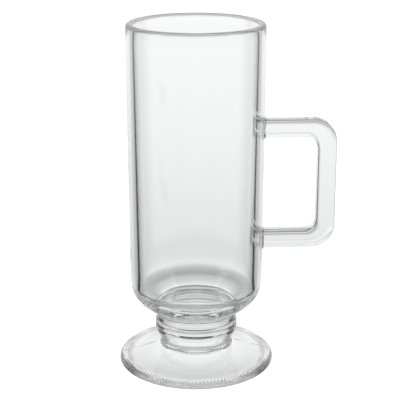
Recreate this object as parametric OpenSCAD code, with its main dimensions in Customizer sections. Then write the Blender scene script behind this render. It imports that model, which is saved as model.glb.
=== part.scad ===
// Irish coffee glass mug: a tall straight bowl with a squared loop handle, on a ringed stem and a wide round foot.
// The real mug is one pressing of clear glass, so each sub-part here is a formed region of it, and neighbours
// meet face to face. The foot stands on z = 0, the bowl's axis is Z, and the handle stands out along +X.

/* [Foot] */
// Outside diameter of the foot
foot_d = 69.8; // [64:0.2:80]
// Height of the widest point of the foot's edge
foot_edge_h = 1.5; // [1.3:0.1:2]
// Height at which the sloped top of the foot meets its rounded edge
foot_slope_h = 3.6; // [3:0.1:5]
// How far in from the widest point the foot's rounded edge reaches
foot_edge_run = 1.8; // [1:0.1:3]
// Height at which the slope ends beside the neck
foot_crown_h = 8.1; // [7:0.1:8.6]
// Radius at which the slope ends and the hollow curve up to the neck starts
foot_crown_r = 18.4; // [17.6:0.2:22]
// Full height of the foot, at the neck
foot_h = 9.4; // [9:0.1:12]
// Rounding between the foot's edge and its bearing ring
foot_round = 1.3; // [0.6:0.1:1.3]
// Width of the flat ring that the mug stands on
bearing_w = 3.6; // [3:0.2:8]
// Depth of the domed hollow under the foot, at its centre
hollow_h = 5; // [2:0.1:6]

/* [Stem] */
// Diameter of the neck, where the stem meets the foot
neck_d = 32; // [28:0.2:33]
// Height of the neck
neck_h = 0.9; // [0.6:0.1:3]
// Height of the lower ring
lower_ring_h = 7.4; // [5:0.1:10]
// How far the lower ring's widest point stands out past the notch
lower_ring_swell = 0.3; // [0.1:0.05:0.9]
// How far the notch between the two rings stands out past the groove under the bowl
notch_step = 0.4; // [0:0.05:0.9]
// Height of the upper ring
upper_ring_h = 3.2; // [2.4:0.1:5]
// How far the upper ring swells past the line between its two edges
upper_ring_swell = 0.45; // [0.2:0.05:0.9]
// Diameter at the groove between the upper ring and the bowl
groove_d = 35.6; // [33:0.2:36.4]
// Height of the hollow curve between the groove and the bottom of the bowl
cove_h = 4.3; // [3:0.1:7]

/* [Bowl] */
// Diameter of the bowl's bottom, where it turns in to the stem
bowl_bottom_d = 39.8; // [38:0.2:44]
// Height of the rounded bottom of the bowl, outside
bowl_curve_h = 20.5; // [17:0.1:24]
// Slope of the rounded bottom where it reaches the stem, in degrees from level
bowl_curve_slope = 37; // [30:1:45]
// Outside diameter where the rounded bottom meets the straight wall
wall_bottom_d = 59; // [56:0.2:66]
// Height of the straight wall
wall_h = 108.7; // [90:0.1:125]
// Outside diameter at the rim
rim_d = 60; // [58:0.2:68]
// Thickness of the wall at the rim, which is fully rounded
rim_t = 3.3; // [2.4:0.1:4]
// Thickness of the wall at the bottom of its straight part
wall_t = 4; // [3:0.1:5]
// Thickness of glass between the groove and the lowest point of the inside
bowl_floor_t = 8.1; // [7:0.1:12]
// Height that the dished inside floor gains from its centre to its corner
bowl_floor_dish = 3; // [0.4:0.1:4]
// Height of the rounded corner between the inside floor and the wall
bowl_corner_h = 5.5; // [4:0.1:8]
// How far in from the wall the rounded corner reaches
bowl_corner_run = 6.5; // [4:0.1:9]

/* [Handle] */
// How far the grip stands out past the rim
handle_reach = 31.7; // [26:0.1:36]
// Height of the handle over both arms
handle_h = 58.9; // [50:0.1:70]
// Distance from the rim down to the top of the handle
handle_drop = 42.1; // [34:0.1:46]
// Thickness of the bar, as seen from the side of the mug
bar_t = 8.2; // [7:0.1:9]
// Width of the bar, as seen from the end of the handle
bar_w = 8; // [7:0.1:10]
// Rounding along the edges of the bar
bar_edge_r = 1.9; // [1:0.1:2.8]
// Outside radius of the handle's two bends
bend_r = 10.5; // [9.5:0.1:14]
// Radius of the web that fills the inside of each bend
web_r = 5; // [4:0.1:8]

/* [Hidden] */
// Distance that one solid reaches into another before it is trimmed to the wall
overrun = 2;
// Handles of the smooth curves, as shares of the curve's own size
curve_share = 0.55;
bowl_wall_share = 0.63;
bowl_stem_share = 1.19;
ring_shares = [0.44, 0.35];
// Number of steps in a rounded outline
steps = 12;
fine_steps = 24;

foot_r = foot_d / 2;
neck_r = neck_d / 2;
groove_r = groove_d / 2;
notch_r = groove_r + notch_step;
lower_ring_r = notch_r + lower_ring_swell;
bowl_bottom_r = bowl_bottom_d / 2;
wall_bottom_r = wall_bottom_d / 2;
rim_r = rim_d / 2;
lip_r = rim_t / 2;

// Heights of the planes where the regions meet
neck_z = foot_h;
lower_ring_z = neck_z + neck_h;
upper_ring_z = lower_ring_z + lower_ring_h;
groove_z = upper_ring_z + upper_ring_h;
bowl_bottom_z = groove_z + cove_h;
wall_z = bowl_bottom_z + bowl_curve_h;
mug_h = wall_z + wall_h;
floor_z = groove_z + bowl_floor_t;
corner_in_z = floor_z + bowl_floor_dish;
corner_out_z = corner_in_z + bowl_corner_h;

bearing_out_r = foot_r - foot_round;
bearing_in_r = bearing_out_r - bearing_w;
dome_r = (bearing_in_r^2 + hollow_h^2) / (2 * hollow_h);
dome_edge = acos(bearing_in_r / dome_r);

handle_x = rim_r + handle_reach;
handle_top_z = mug_h - handle_drop;
handle_bottom_z = handle_top_z - handle_h;
bend_mid_r = bend_r - bar_t / 2;
arm_end_x = handle_x - bend_r;

glass = [0.86, 0.89, 0.89, 0.45];
cut_glass = [0.78, 0.83, 0.84, 0.55];

// Points of an arc about c, from angle a to angle b
function arc(c, r, a, b) =
    [for (i = [0 : steps]) let (t = a + (b - a) * i / steps) c + r * [cos(t), sin(t)]];

// Points of a smooth curve from p to s that starts towards q and arrives from r, without its first point
function curve(p, q, r, s, n = steps) =
    [for (i = [1 : n]) let (t = i / n, u = 1 - t) u^3 * p + 3 * t * u^2 * q + 3 * t^2 * u * r + t^3 * s];

// Outside of the bowl from the rim's widest point down to the groove
function bowl_outside() =
    let (
        wall_end = [wall_bottom_r, wall_z],
        stem_end = [bowl_bottom_r, bowl_bottom_z],
        along = [cos(bowl_curve_slope), sin(bowl_curve_slope)],
        groove = [groove_r, groove_z]
    )
    concat(
        [wall_end],
        curve(wall_end, wall_end - [0, bowl_wall_share * bowl_curve_h],
              stem_end + bowl_stem_share * (wall_bottom_r - bowl_bottom_r) * along,
              stem_end, fine_steps),
        curve(stem_end, stem_end - curve_share * (bowl_bottom_r - groove_r) * along,
              groove + [0, curve_share * cove_h], groove)
    );

// Radius of the inside wall, which is straight from its rounded corner to the rim
function wall_in_r(z) =
    let (
        low = [wall_bottom_r - wall_t, wall_z],
        high = [rim_r - rim_t, mug_h - lip_r]
    )
    low.x + (high.x - low.x) * (z - low.y) / (high.y - low.y);

// Inside of the bowl from the axis out along the dished floor and round the corner to the wall
function bowl_inside() =
    let (
        middle = [0, floor_z],
        corner_out = [wall_in_r(corner_out_z), corner_out_z],
        corner_in = [corner_out.x - bowl_corner_run, corner_in_z],
        third = corner_in.x / 3,
        floor_slope = 2 * bowl_floor_dish / corner_in.x
    )
    concat(
        [middle],
        curve(middle, middle + [third, 0], corner_in - third * [1, floor_slope], corner_in),
        curve(corner_in, corner_in + curve_share * bowl_corner_run * [1, floor_slope],
              corner_out - [0, curve_share * bowl_corner_h], corner_out)
    );

module bowl() {
    color(glass)
    rotate_extrude($fn = 120)
    polygon(concat(
        bowl_inside(),
        arc([rim_r - lip_r, mug_h - lip_r], lip_r, 180, 0),
        bowl_outside(),
        [[0, groove_z]]
    ));
}

module upper_ring() {
    color(cut_glass)
    rotate_extrude($fn = 120)
    polygon(concat(
        [for (i = [0 : steps])
            let (t = i / steps)
            [groove_r + notch_step * t + upper_ring_swell * sin(180 * t), groove_z - upper_ring_h * t]],
        [[0, upper_ring_z], [0, groove_z]]
    ));
}

module lower_ring() {
    // The ring rounds over just below the notch, then draws in smoothly to the neck
    widest = [lower_ring_r, upper_ring_z - lower_ring_swell];
    neck_top = [neck_r, lower_ring_z];
    color(glass)
    rotate_extrude($fn = 120)
    polygon(concat(
        [[0, lower_ring_z], [0, upper_ring_z], [notch_r, upper_ring_z], widest],
        curve(widest, widest - [0, ring_shares[0] * lower_ring_h],
              neck_top + [0, ring_shares[1] * lower_ring_h], neck_top)
    ));
}

module neck() {
    color(cut_glass)
    translate([0, 0, neck_z])
    cylinder(r = neck_r, h = neck_h, $fn = 120);
}

// Domed hollow under the foot, from the bearing ring up to the axis, without its first point
function hollow_outline() =
    [for (i = [1 : fine_steps])
        let (t = dome_edge + (90 - dome_edge) * i / fine_steps)
        [0, hollow_h - dome_r] + dome_r * [cos(t), sin(t)]];

module foot() {
    crown = [foot_crown_r, foot_crown_h];
    neck_end = [neck_r, foot_h];
    slope_end = [foot_r - foot_edge_run, foot_slope_h];
    edge = [foot_r, foot_edge_h];
    slope = (crown - slope_end) / (slope_end.x - crown.x);
    color(glass)
    rotate_extrude($fn = 120)
    polygon(concat(
        [[0, foot_h], neck_end],
        curve(neck_end, neck_end - [0, curve_share * (foot_h - foot_crown_h)],
              crown + curve_share * (crown.x - neck_r) * slope, crown),
        [slope_end],
        curve(slope_end, slope_end - curve_share * foot_edge_run * slope,
              edge + [0, curve_share * (foot_slope_h - foot_edge_h)], edge),
        arc([bearing_out_r, foot_round], foot_round, 0, -90),
        [[bearing_in_r, 0]],
        hollow_outline()
    ));
}

// Section of the handle's bar, centred, with its thickness along x
module bar_section() {
    corner = [bar_t / 2 - bar_edge_r, bar_w / 2 - bar_edge_r];
    polygon([
        for (side = [[1, 1, 0], [-1, 1, 90], [-1, -1, 180], [1, -1, 270]])
            for (point = arc([side.x * corner.x, side.y * corner.y], bar_edge_r, side.z, side.z + 90))
                point
    ]);
}

// One arm and its bend, with the arm's outer face at the origin's height and the bar below it
module arm() {
    mid_z = -bar_t / 2;
    translate([0, 0, mid_z])
    rotate([0, 90, 0])
    linear_extrude(height = arm_end_x)
    bar_section();

    translate([arm_end_x, 0, -bend_r])
    rotate([90, 0, 0])
    rotate_extrude(angle = 90, $fn = 96)
    translate([bend_mid_r, 0])
    bar_section();

    // Web in the inner corner
    web_x = handle_x - bar_t - web_r;
    web_z = -bar_t - web_r;
    inner = [handle_x - bar_t, -bar_t];
    rotate([90, 0, 0])
    linear_extrude(height = bar_w - 2 * bar_edge_r, center = true)
    polygon(concat(
        arc([web_x, web_z], web_r, 0, 90),
        [[web_x, inner.y + bar_edge_r], inner + [bar_edge_r, bar_edge_r], [inner.x + bar_edge_r, web_z]]
    ));
}

module handle() {
    color(cut_glass)
    difference() {
        union() {
            translate([0, 0, handle_top_z])
            arm();

            translate([0, 0, handle_bottom_z])
            mirror([0, 0, 1])
            arm();

            // Grip between the two bends
            translate([handle_x - bar_t / 2, 0, handle_bottom_z + bend_r])
            linear_extrude(height = handle_h - 2 * bend_r)
            bar_section();
        }

        // The arms end on the bowl's outside wall
        rotate_extrude($fn = 120)
        polygon(concat(
            [[0, mug_h + overrun], [rim_r, mug_h + overrun], [rim_r, mug_h - lip_r]],
            bowl_outside(),
            [[0, groove_z]]
        ));
    }
}

bowl();
upper_ring();
lower_ring();
neck();
foot();
handle();
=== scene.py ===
import math
from functools import partial

import bmesh
import bpy
from mathutils import Matrix, Vector


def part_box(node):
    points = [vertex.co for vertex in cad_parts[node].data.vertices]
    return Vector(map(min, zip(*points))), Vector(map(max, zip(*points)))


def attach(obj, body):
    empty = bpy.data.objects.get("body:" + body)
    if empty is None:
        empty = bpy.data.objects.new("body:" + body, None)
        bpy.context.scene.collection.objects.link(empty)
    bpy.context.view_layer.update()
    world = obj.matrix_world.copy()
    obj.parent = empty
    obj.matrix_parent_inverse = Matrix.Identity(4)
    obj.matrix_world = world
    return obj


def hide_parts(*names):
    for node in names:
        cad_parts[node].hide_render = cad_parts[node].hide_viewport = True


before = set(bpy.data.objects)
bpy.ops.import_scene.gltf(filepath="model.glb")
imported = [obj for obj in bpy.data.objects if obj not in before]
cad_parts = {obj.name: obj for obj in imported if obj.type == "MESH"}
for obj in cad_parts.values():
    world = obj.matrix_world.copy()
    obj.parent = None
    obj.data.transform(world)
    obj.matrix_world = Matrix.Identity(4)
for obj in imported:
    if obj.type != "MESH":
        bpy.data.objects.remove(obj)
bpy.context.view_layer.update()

# Real sizes of the mug, in metres. Heights and radii that the frame knows are read from its nodes
mm = 0.001
neck_low, neck_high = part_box("neck")
bowl_low, bowl_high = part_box("bowl")
handle_low, handle_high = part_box("handle")

# Foot: a sloped top, a rounded edge, and underneath a flat bearing ring round a domed hollow
foot_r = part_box("foot")[1].x
foot_edge_z = 1.5 * mm
foot_edge_run = 1.8 * mm
foot_slope_z = 3.6 * mm
foot_crown_r = 18.4 * mm
foot_crown_z = 8.1 * mm
foot_round = 1.3 * mm
bearing_w = 3.6 * mm
hollow_h = 5 * mm

# Ribs beside the bearing ring. Their depth rises and falls in slow waves round the foot
bearing_ribs = 120
rib_depth = 0.35 * mm
rib_length = 0.8 * mm
rib_slant = 1.5
rib_waves = 17
rib_unevenness = 0.25

# Seams on top of the foot, which come up over seam_fade beside the neck
seam_h = 0.18 * mm
seam_fade = 3 * mm

# Stem: the neck, the lower ring, the notch, the upper ring and the groove under the bowl
neck_r = neck_high.x
neck_z = neck_low.z
lower_ring_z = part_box("lower_ring")[0].z
lower_ring_swell = 0.3 * mm
upper_ring_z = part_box("upper_ring")[0].z
upper_ring_swell = 0.45 * mm
groove_z = bowl_low.z
groove_r = 17.8 * mm
notch_step = 0.4 * mm
notch_r = groove_r + notch_step

# Bowl: a rounded bottom, a wall that tapers a little, a rounded rim and a dished floor inside
bowl_bottom_r = 19.9 * mm
bowl_bottom_h = 4.3 * mm
bowl_curve_h = 20.5 * mm
bowl_curve_slope = math.radians(37)
wall_foot_r = 29.5 * mm
wall_t = 4 * mm
rim_r = bowl_high.x
rim_z = bowl_high.z
lip_r = 1.65 * mm
floor_h = 8.1 * mm
floor_dish = 3 * mm
bowl_corner_h = 5.5 * mm
bowl_corner_run = 6.5 * mm
bowl_bottom = Vector((bowl_bottom_r, groove_z + bowl_bottom_h))
wall_foot = Vector((wall_foot_r, bowl_bottom.y + bowl_curve_h))
floor_z = groove_z + floor_h

# Handle: a rounded bar, bar_t thick and bar_w wide, with a small fillet where each arm meets the wall
handle_x = handle_high.x
handle_top_z = handle_high.z
handle_bottom_z = handle_low.z
bar_t = 8.2 * mm
bar_w = handle_high.y - handle_low.y
bar_edge_r = 2.7 * mm
bend_r = 10.5 * mm
inner_bend_r = 5 * mm
joint_fillet = 1 * mm

# The wall's outside has the joints' glass so far above and below the handle, and so far in from the rim
joint_margin = 4 * mm
joint_reach = 2 * mm

# Handles of the smooth curves, as shares of the curve's own size
curve_share = 0.55
bowl_wall_share = 0.63
bowl_stem_share = 1.19
floor_corner_share = 1.65
ring_notch_share = 0.44
ring_neck_share = 0.35

# Steps of the meshes. The foot has more sides than the rest, for its ribs
turned_sides = 256
foot_sides = 600
fillet_steps = 9
bend_steps = 24
straight_steps = 8
cap_shares = (0.75, 0.5, 0.25, 0.05)

# Vertices closer than the first count as level with each other, and closer than the second as one
level_gap = 1e-6
merge_gap = 1e-7

# Places of the materials on a piece: its clear glass is 0
fused_slot = 1
wall_at_handle_slot = 2

# Camera: its place and aim, and the focal length of its picture in pixels
camera_away = 501.4 * mm
camera_h = 231.6 * mm
camera_turn = math.radians(-3)
camera_pitch = math.radians(17.28)
camera_yaw = math.radians(0.2)
focal_px = 1185.7
frame_px = 400
sensor_w = 36
clip_near = 0.01
clip_far = 100

# Bounces of light inside the glass
glass_bounces = 128
see_through_bounces = 64

# Brightness of the studio by degrees above level: the panel behind, the flags beside it, and the room
back_panel = [(-90, 0.5), (-62, 0.55), (-47, 0.15), (-41, 1), (-34, 0.4), (-20, 0.8),
              (-10, 1), (-4, 0.75), (10, 1), (50, 0.95), (75, 0.2)]
dark_flags = [(-62, 0.4), (-36, 0.1), (-20, 0), (4, 0.1), (40, 0.25), (90, 0.15)]
room = [(-90, 0.35), (-45, 0.2), (-30, 0.3), (-15, 0.95), (-4, 0.6), (8, 0.2), (90, 0.1)]

# Degrees to the side count from straight behind the mug, as the camera sees it, and are the same either way.
# Share of the panel that is left at so many degrees to the side, and where the room begins
panel_reach = [(20, 1), (41, 0.65), (47, 0)]
room_edge = (60, 88)

# The room is dimmed towards the camera where it is above level. It sets in over these degrees
dim_turn = (110, 140)
dim_height = (-6, 2)
dim_share = 0.8

# Two softboxes at the mug's sides, a little towards the camera, in degrees to the side and above level
softbox_turn = (106, 122)
softbox_height = (14, 42)
softbox_edge = 3
softbox_light = 2

# The white floor and background that the camera sees
white_light = 1.1
floor_half = 20


# Outlines

def arc(centre, radius, start, end, steps):
    """Points of an arc about centre, from one angle to another in degrees."""
    angles = [math.radians(start + (end - start) * i / steps) for i in range(steps + 1)]
    return [centre + radius * Vector((math.cos(a), math.sin(a))) for a in angles]


def curve(start, towards, arriving, end, steps):
    """Points of a smooth curve, without its first point."""
    points = []
    for i in range(1, steps + 1):
        t = i / steps
        u = 1 - t
        points.append(u**3 * start + 3 * t * u * u * towards + 3 * t * t * u * arriving + t**3 * end)
    return points


def line(start, end, steps):
    """Points along a straight line, without its first point."""
    return [start.lerp(end, i / steps) for i in range(1, steps + 1)]


def wall_radius(z):
    """Outside radius of the straight wall at a height."""
    share = (z - wall_foot.y) / (rim_z - lip_r - wall_foot.y)
    return wall_foot.x + (rim_r - wall_foot.x) * share


def wall_in_radius(z):
    """Inside radius of the wall, which is straight from its rounded corner to the rim."""
    low = wall_foot.x - wall_t
    high = rim_r - 2 * lip_r
    return low + (high - low) * (z - wall_foot.y) / (rim_z - lip_r - wall_foot.y)


def bowl_outline():
    """From the middle of the inside floor, up the inside, over the rim and down the outside to the groove."""
    middle = Vector((0, floor_z))
    corner_z = floor_z + floor_dish
    corner_out = Vector((wall_in_radius(corner_z + bowl_corner_h), corner_z + bowl_corner_h))
    corner_in = Vector((corner_out.x - bowl_corner_run, corner_z))
    floor_third = corner_in.x / 3 * Vector((1, 2 * floor_dish / corner_in.x))
    rim_centre = Vector((rim_r - lip_r, rim_z - lip_r))
    groove = Vector((groove_r, groove_z))
    along = Vector((math.cos(bowl_curve_slope), math.sin(bowl_curve_slope)))
    points = [middle]
    points += curve(middle, Vector((floor_third.x, floor_z)), corner_in - floor_third, corner_in, steps=24)
    points += curve(corner_in, corner_in + floor_corner_share * bowl_corner_run / corner_in.x * floor_third,
                    corner_out - Vector((0, curve_share * bowl_corner_h)), corner_out, steps=24)
    lip = arc(rim_centre, lip_r, 180, 0, steps=24)
    points += line(corner_out, lip[0], steps=28)
    points += lip[1:]
    points += line(lip[-1], wall_foot, steps=24)
    points += curve(wall_foot, wall_foot - Vector((0, bowl_wall_share * (wall_foot.y - bowl_bottom.y))),
                    bowl_bottom + bowl_stem_share * (wall_foot.x - bowl_bottom.x) * along,
                    bowl_bottom, steps=40)
    points += curve(bowl_bottom, bowl_bottom - curve_share * (bowl_bottom.x - groove.x) * along,
                    groove + Vector((0, curve_share * (bowl_bottom.y - groove_z))), groove, steps=16)
    return points + [Vector((0, groove_z))]


def upper_ring_outline(steps=16):
    """The upper ring, from its top face round its swelling side to the notch."""
    side = []
    for i in range(steps + 1):
        t = i / steps
        radius = groove_r + (notch_r - groove_r) * t + upper_ring_swell * math.sin(math.pi * t)
        side.append(Vector((radius, groove_z + (upper_ring_z - groove_z) * t)))
    return [Vector((0, groove_z))] + side + [Vector((0, upper_ring_z))]


def lower_ring_outline():
    """The lower ring, from the notch round its widest line and in to the neck."""
    height = upper_ring_z - lower_ring_z
    notch = Vector((notch_r, upper_ring_z))
    widest = Vector((notch_r + lower_ring_swell, upper_ring_z - lower_ring_swell))
    neck_top = Vector((neck_r, lower_ring_z))
    side = curve(widest, widest - Vector((0, ring_notch_share * height)),
                 neck_top + Vector((0, ring_neck_share * height)), neck_top, steps=24)
    return [Vector((0, upper_ring_z)), notch, widest] + side + [Vector((0, lower_ring_z))]


def neck_outline():
    """The neck, a short straight stem."""
    neck_top = Vector((neck_r, lower_ring_z))
    side = line(neck_top, Vector((neck_r, neck_z)), steps=4)
    return [Vector((0, lower_ring_z)), neck_top] + side + [Vector((0, neck_z))]


def foot_outline():
    """From the neck out along the sloped top, round the edge, and under to the middle of the hollow."""
    neck_end = Vector((neck_r, neck_z))
    crown = Vector((foot_crown_r, foot_crown_z))
    slope_end = Vector((foot_r - foot_edge_run, foot_slope_z))
    edge = Vector((foot_r, foot_edge_z))
    slope = (crown - slope_end) / (slope_end.x - crown.x)
    bearing_out = foot_r - foot_round
    bearing_in = bearing_out - bearing_w
    dome_r = (bearing_in ** 2 + hollow_h ** 2) / (2 * hollow_h)
    dome_edge = math.degrees(math.acos(bearing_in / dome_r))
    points = [Vector((0, neck_z)), neck_end]
    points += curve(neck_end, neck_end - Vector((0, curve_share * (neck_z - crown.y))),
                    crown + curve_share * (crown.x - neck_r) * slope, crown, steps=12)
    points += line(crown, slope_end, steps=6)
    points += curve(slope_end, slope_end - curve_share * foot_edge_run * slope,
                    edge + Vector((0, curve_share * (foot_slope_z - foot_edge_z))), edge, steps=12)
    points += arc(Vector((bearing_out, foot_round)), foot_round, 0, -90, steps=10)
    points += line(Vector((bearing_out, 0)), Vector((bearing_in, 0)), steps=12)
    return points + arc(Vector((0, hollow_h - dome_r)), dome_r, dome_edge, 90, steps=24)[1:]


# Turned shapes

def turned(outline, sides=turned_sides):
    """An outline of radius and height, turned about the axis into a closed shape."""
    shape = bmesh.new()
    points = [shape.verts.new((p.x, 0, p.y)) for p in outline]
    edges = [shape.edges.new(pair) for pair in zip(points, points[1:])]
    bmesh.ops.spin(shape, geom=points + edges, cent=(0, 0, 0), axis=(0, 0, 1),
                   angle=2 * math.pi, steps=sides, use_merge=True)
    return shape


def fuse_faces(shape, *planes):
    """Gives the flat faces where one region runs into the next the fused joint material."""
    for face in shape.faces:
        for z in planes:
            if all(abs(v.co.z - z) < level_gap for v in face.verts):
                face.material_index = fused_slot


def rib_bearing(shape):
    """Cuts slanting ribs along the inner side of the bearing ring, as the mould leaves them under a foot."""
    inner = foot_r - foot_round - bearing_w
    for v in shape.verts:
        share = 1 - (v.co.xy.length - inner) / rib_length
        if v.co.z < level_gap and share > 0:
            angle = math.atan2(v.co.y, v.co.x)
            rib = 0.5 + 0.5 * math.cos(bearing_ribs * angle + rib_slant * share)
            uneven = 1 - rib_unevenness + rib_unevenness * math.cos(rib_waves * angle)
            v.co.z = rib_depth * math.sin(math.pi / 2 * share) * rib * uneven


def raise_seams(shape):
    """Raises the two fine seams that the mould's halves leave on top of the foot, in line with the handle."""
    for v in shape.verts:
        radius = v.co.xy.length
        on_top = v.co.z > foot_slope_z - level_gap and radius > neck_r + level_gap
        if on_top and abs(v.co.y) < level_gap:
            run_out = min((radius - neck_r) / seam_fade, (foot_r - radius) / foot_edge_run, 1)
            v.co.z += seam_h * run_out


def bowl_shape():
    """The bowl. Its outside beside the handle has its own material, which leaves the arms' joints out."""
    shape = turned(bowl_outline())
    fuse_faces(shape, groove_z)
    for face in shape.faces:
        centre = face.calc_center_median()
        beside = centre.x > rim_r - joint_reach and abs(centre.y) < bar_w
        if beside and handle_bottom_z - joint_margin < centre.z < handle_top_z + joint_margin:
            face.material_index = wall_at_handle_slot
    return shape


def stem_shape(outline, top_z, bottom_z):
    """A region of the stem, which is one glass with what is above and below it."""
    shape = turned(outline)
    fuse_faces(shape, top_z, bottom_z)
    return shape


def foot_shape():
    """The foot, with its ribs and seams."""
    shape = turned(foot_outline(), foot_sides)
    fuse_faces(shape, neck_z)
    rib_bearing(shape)
    raise_seams(shape)
    return shape


# Handle

def edge_direction(spot):
    """Which way the bar's surface faces at a spot of its section."""
    half_w = bar_w / 2
    core = Vector((min(max(spot.x, bar_edge_r), bar_t - bar_edge_r),
                   min(max(spot.y, bar_edge_r - half_w), half_w - bar_edge_r)))
    return (spot.xy - core).normalized()


def on_wall(spot, arm, out=0):
    """The spot ahead of an arm's section on the wall, or so far out from it."""
    inner_z, outer_z = arm
    z = inner_z + (outer_z - inner_z) * spot.x / bar_t
    return Vector((math.sqrt(wall_radius(z) ** 2 - spot.y ** 2) + out, spot.y, z))


def on_fillet(spot, arm, angle):
    """A spot on the fillet at the wall, from the bar at angle 0 to the wall at angle 90."""
    a = math.radians(angle)
    flared = spot.xy + joint_fillet * (1 - math.cos(a)) * edge_direction(spot)
    return on_wall(flared, arm, joint_fillet * (1 - math.sin(a)))


def on_bend(spot, bend, angle):
    """A spot on a bend, whose inner and outer tracks have their own centres."""
    inner, outer = bend
    a = math.radians(angle)
    turn = Vector((math.cos(a), math.sin(a)))
    track = (inner + inner_bend_r * turn).lerp(outer + bend_r * turn, spot.x / bar_t)
    return Vector((track.x, spot.y, track.y))


def on_straight(spot, start, end, share):
    """A spot on a straight stretch between two stations."""
    return start(spot).lerp(end(spot), share)


def sweep(start, end, steps):
    """Angles from one to another, in degrees."""
    return [start + (end - start) * i / steps for i in range(steps + 1)]


def straight(start, end):
    """Stations along a straight stretch, without the two that end it."""
    shares = [i / straight_steps for i in range(1, straight_steps)]
    return [partial(on_straight, start=start, end=end, share=share) for share in shares]


def handle_stations(top_arm, bottom_arm):
    """Where the bar's section goes on its way round, each as a function from a spot of the section."""
    inner_x = handle_x - bar_t - inner_bend_r
    outer_x = handle_x - bend_r
    upper_bend = (Vector((inner_x, handle_top_z - bar_t - inner_bend_r)),
                  Vector((outer_x, handle_top_z - bend_r)))
    lower_bend = (Vector((inner_x, handle_bottom_z + bar_t + inner_bend_r)),
                  Vector((outer_x, handle_bottom_z + bend_r)))
    fillet = sweep(90, 0, fillet_steps)
    start = [partial(on_fillet, arm=top_arm, angle=a) for a in fillet]
    upper = [partial(on_bend, bend=upper_bend, angle=a) for a in sweep(90, 0, bend_steps)]
    lower = [partial(on_bend, bend=lower_bend, angle=a) for a in sweep(0, -90, bend_steps)]
    end = [partial(on_fillet, arm=bottom_arm, angle=a) for a in reversed(fillet)]
    return (start + straight(start[-1], upper[0]) + upper + straight(upper[-1], lower[0]) + lower
            + straight(lower[-1], end[0]) + end)


def bar_section(shape):
    """Draws the bar's rounded section and gives the edges round it."""
    half_w = bar_w / 2
    corners = [shape.verts.new((u, v, 0)) for u, v in
               ((0, -half_w), (bar_t, -half_w), (bar_t, half_w), (0, half_w))]
    section = shape.faces.new(corners)
    bmesh.ops.subdivide_edges(shape, edges=list(section.edges), cuts=3)
    corners = [v for v in shape.verts if abs(v.co.y) > half_w - level_gap
               and (v.co.x < level_gap or v.co.x > bar_t - level_gap)]
    bmesh.ops.bevel(shape, geom=corners, offset=bar_edge_r, offset_type="OFFSET", affect="VERTICES",
                    segments=8, profile=0.5, material=-1)
    ring = [e for e in shape.edges if len(e.link_faces) == 1]
    bmesh.ops.delete(shape, geom=list(shape.faces), context="FACES_ONLY")
    return ring


def extruded(shape, ring):
    """Extrudes a ring of edges. Gives the new ring, its vertices and the faces between the two."""
    grown = bmesh.ops.extrude_edge_only(shape, edges=ring)["geom"]
    verts = [g for g in grown if isinstance(g, bmesh.types.BMVert)]
    faces = [g for g in grown if isinstance(g, bmesh.types.BMFace)]
    edges = [g for g in grown if isinstance(g, bmesh.types.BMEdge) and all(v in verts for v in g.verts)]
    return edges, verts, faces


def cap(shape, place, ring, arm):
    """Closes an end of the bar with a patch that lies on the wall."""
    middle = Vector((bar_t / 2, 0))
    for share in cap_shares:
        ring, verts, faces = extruded(shape, ring)
        for v in verts:
            spot = v[place].xy + joint_fillet * edge_direction(v[place])
            v.co = on_wall(middle + share * (spot - middle), arm)
        for face in faces:
            face.material_index = fused_slot
    for face in bmesh.ops.contextual_create(shape, geom=ring)["faces"]:
        face.material_index = fused_slot


def handle_shape():
    """The bar, drawn along its two arms, bends and grip, with its ends flared onto the wall."""
    shape = bmesh.new()
    place = shape.verts.layers.float_vector.new("place")
    first = bar_section(shape)
    top_arm = (handle_top_z - bar_t, handle_top_z)
    bottom_arm = (handle_bottom_z + bar_t, handle_bottom_z)
    stations = handle_stations(top_arm, bottom_arm)
    for v in shape.verts:
        v[place] = v.co
        v.co = stations[0](v[place])
    ring = first
    for station in stations[1:]:
        ring, verts, _ = extruded(shape, ring)
        for v in verts:
            v.co = station(v[place])
    cap(shape, place, ring, bottom_arm)
    cap(shape, place, first, top_arm)
    return shape


# Materials

class Field:
    """A value that changes over a surface. A sum written with fields adds its Math nodes."""

    def __init__(self, finish, socket):
        self.finish = finish
        self.socket = socket

    def __add__(self, other):
        return self.finish.maths("ADD", self, other)

    def __radd__(self, other):
        return self.finish.maths("ADD", other, self)

    def __sub__(self, other):
        return self.finish.maths("SUBTRACT", self, other)

    def __rsub__(self, other):
        return self.finish.maths("SUBTRACT", other, self)

    def __mul__(self, other):
        return self.finish.maths("MULTIPLY", self, other)

    def __rmul__(self, other):
        return self.finish.maths("MULTIPLY", other, self)

    def __gt__(self, other):
        return self.finish.maths("GREATER_THAN", self, other)

    def __abs__(self):
        return self.finish.maths("ABSOLUTE", self)


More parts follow.
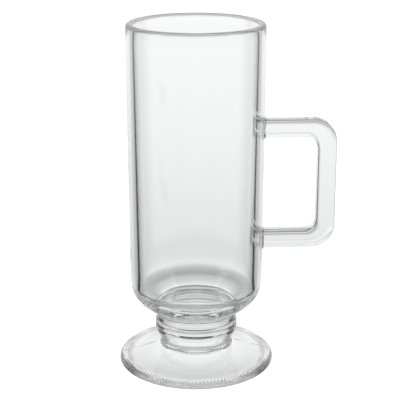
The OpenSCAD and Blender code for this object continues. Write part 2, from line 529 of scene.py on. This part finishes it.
class Finish:
    """A node tree that is written as Python expressions."""

    def __init__(self, tree):
        self.tree = tree

    def node(self, kind, settings=None, values=None, output=0):
        """Adds a node: its settings first, then the values or links of its sockets."""
        made = self.tree.nodes.new("ShaderNode" + kind)
        for name, value in (settings or {}).items():
            if name == "stops":
                self.set_stops(made.color_ramp, value)
            else:
                setattr(made, name, value)
        for slot, value in (values or {}).items():
            self.join(value, made.inputs[slot])
        return Field(self, made.outputs[output])

    def set_stops(self, ramp, stops):
        """Gives a ramp its stops, each a place from 0 to 1 and a grey. A new ramp has two already."""
        for i, (place, grey) in enumerate(stops):
            stop = ramp.elements[i] if i < 2 else ramp.elements.new(place)
            stop.position = place
            stop.color = (grey, grey, grey, 1)

    def join(self, value, slot):
        """Links a field to a socket, or sets the socket to a number."""
        if isinstance(value, Field):
            self.tree.links.new(value.socket, slot)
        else:
            slot.default_value = value

    def maths(self, operation, *values):
        """The result of a Math node."""
        return self.node("Math", {"operation": operation}, dict(enumerate(values)))

    def place(self, space="Object"):
        """Where on the object a point of the surface is, as three fields."""
        split = self.node("SeparateXYZ", values={0: self.node("TexCoord", output=space)})
        return [Field(self, socket) for socket in split.socket.node.outputs]

    def rise(self, value, start, end, way="LINEAR"):
        """Rises from 0 to 1 while the value goes from start to end."""
        return self.node("MapRange", {"interpolation_type": way},
                         {"Value": value, "From Min": start, "From Max": end})

    def fade(self, value, start, end):
        """Rises softly from 0 to 1 while the value goes from start to end."""
        return self.rise(value, start, end, "SMOOTHSTEP")

    def within(self, value, span, edge):
        """1 while the value is in a span, with a soft edge beyond either end."""
        low, high = span
        return self.fade(value, low - edge, low) * (1 - self.fade(value, high, high + edge))

    def follow(self, profile, angle, lowest, highest):
        """A brightness that follows an angle, from pairs of degrees and brightness."""
        stops = [((degrees - lowest) / (highest - lowest), bright) for degrees, bright in profile]
        return self.node("ValToRGB", {"stops": stops}, {"Fac": self.rise(angle, lowest, highest)})


def new_material(name):
    """A new material and its shader."""
    material = bpy.data.materials.new(name)
    material.use_nodes = True
    return material, material.node_tree.nodes["Principled BSDF"]


def clear_glass(name):
    """Fire-polished clear glass."""
    material, shader = new_material(name)
    shader.inputs["Base Color"].default_value = (0.985, 0.99, 0.99, 1)
    shader.inputs["Roughness"].default_value = 0
    shader.inputs["IOR"].default_value = 1.52
    shader.inputs["Transmission Weight"].default_value = 1
    return material


def fused_joint():
    """The inside of the glass where two regions are one, which nothing shows of."""
    material, shader = new_material("fused_joint")
    shader.inputs["Alpha"].default_value = 0
    return material


def glass_round_joints():
    """The wall's glass beside the handle, with nothing where an arm runs into it."""
    material = clear_glass("wall_at_handle")
    finish = Finish(material.node_tree)
    y, z = finish.place()[1:]
    middle = (handle_top_z + handle_bottom_z) / 2
    arm_z = (handle_top_z - handle_bottom_z - bar_t) / 2
    corner = bar_edge_r + joint_fillet
    across = finish.maths("MAXIMUM", abs(y) - (bar_w / 2 - bar_edge_r), 0)
    along = finish.maths("MAXIMUM", abs(abs(z - middle) - arm_z) - (bar_t / 2 - bar_edge_r), 0)
    away = finish.maths("SQRT", across * across + along * along)
    finish.join(away > corner, material.node_tree.nodes["Principled BSDF"].inputs["Alpha"])
    return material


def studio_white():
    """The floor's even white, which takes no shadow."""
    material, shader = new_material("studio_white")
    shader.inputs["Base Color"].default_value = (0, 0, 0, 1)
    shader.inputs["Emission Color"].default_value = (1, 1, 1, 1)
    shader.inputs["Emission Strength"].default_value = white_light
    return material


# Pieces

def dress(node, shape, materials, sharp_angle=30):
    """Makes a shape a closed, smooth mesh that takes its node's place and rides with the mug."""
    bmesh.ops.remove_doubles(shape, verts=shape.verts, dist=merge_gap)
    bmesh.ops.dissolve_degenerate(shape, edges=shape.edges, dist=merge_gap)
    bmesh.ops.recalc_face_normals(shape, faces=shape.faces)
    for face in shape.faces:
        face.smooth = True
    for edge in shape.edges:
        if edge.calc_face_angle(0) > math.radians(sharp_angle):
            edge.smooth = False
    mesh = bpy.data.meshes.new(node + "_glass")
    shape.to_mesh(mesh)
    shape.free()
    for material in materials:
        mesh.materials.append(material)
    piece = bpy.data.objects.new(node + "_glass", mesh)
    bpy.context.scene.collection.objects.link(piece)
    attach(piece, "root")
    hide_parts(node)


glass = clear_glass("clear_glass")
wall_at_handle = glass_round_joints()
joint = fused_joint()

dress("bowl", bowl_shape(), [glass, joint, wall_at_handle])
dress("upper_ring", stem_shape(upper_ring_outline(), groove_z, upper_ring_z), [glass, joint])
dress("lower_ring", stem_shape(lower_ring_outline(), upper_ring_z, lower_ring_z), [glass, joint])
dress("neck", stem_shape(neck_outline(), lower_ring_z, neck_z), [glass, joint])
dress("foot", foot_shape(), [glass, joint])
dress("handle", handle_shape(), [glass, joint])


# Studio

def lay_floor():
    """A white floor for the camera alone. The glass shows the studio's light from below in its place."""
    shape = bmesh.new()
    bmesh.ops.create_grid(shape, x_segments=1, y_segments=1, size=floor_half)
    mesh = bpy.data.meshes.new("studio_floor")
    shape.to_mesh(mesh)
    shape.free()
    mesh.materials.append(studio_white())
    floor = bpy.data.objects.new("studio_floor", mesh)
    bpy.context.scene.collection.objects.link(floor)
    floor.visible_transmission = False
    floor.visible_glossy = False


def light_studio():
    """The light that the glass shows, by direction. The camera itself sees an even white behind the mug."""
    world = bpy.data.worlds.new("studio")
    bpy.context.scene.world = world
    world.use_nodes = True
    studio = Finish(world.node_tree)
    east, north, up = studio.place("Generated")
    ahead = north * math.cos(camera_turn) - east * math.sin(camera_turn)
    aside = east * math.cos(camera_turn) + north * math.sin(camera_turn)
    turn = abs(studio.maths("ARCTAN2", aside, ahead)) * (180 / math.pi)
    height = studio.maths("ARCSINE", up) * (180 / math.pi)

    panel, flags, rest = (studio.follow(profile, height, -90, 90)
                          for profile in (back_panel, dark_flags, room))
    reach = studio.follow(panel_reach, turn, 0, 180)
    around = studio.fade(turn, *room_edge)
    dimmed = studio.fade(turn, *dim_turn) * studio.fade(height, *dim_height)
    light = panel * reach + flags * (1 - reach)
    light = light * (1 - around) + rest * around
    light = light * (1 - dim_share * dimmed)

    softbox = (studio.within(turn, softbox_turn, softbox_edge)
               * studio.within(height, softbox_height, softbox_edge))
    light = light * (1 - softbox) + softbox_light * softbox
    seen = studio.node("LightPath", output="Is Camera Ray")
    light = light * (1 - seen) + white_light * seen
    studio.join(light, world.node_tree.nodes["Background"].inputs["Color"])


def set_camera():
    """The camera at the photograph's angle, with enough bounces to light the glass right through."""
    lens = bpy.data.cameras.new("camera")
    lens.sensor_width = sensor_w
    lens.lens = sensor_w * focal_px / frame_px
    lens.clip_start = clip_near
    lens.clip_end = clip_far
    camera = bpy.data.objects.new("camera", lens)
    camera.location = Matrix.Rotation(camera_turn, 3, "Z") @ Vector((0, -camera_away, camera_h))
    camera.rotation_euler = (math.pi / 2 - camera_pitch, 0, camera_turn - camera_yaw)
    bpy.context.scene.collection.objects.link(camera)
    bpy.context.scene.camera = camera
    bpy.context.scene.view_settings.view_transform = "Standard"
    bpy.context.scene.cycles.max_bounces = glass_bounces
    bpy.context.scene.cycles.transmission_bounces = glass_bounces
    bpy.context.scene.cycles.glossy_bounces = glass_bounces
    bpy.context.scene.cycles.transparent_max_bounces = see_through_bounces


lay_floor()
light_studio()
set_camera()
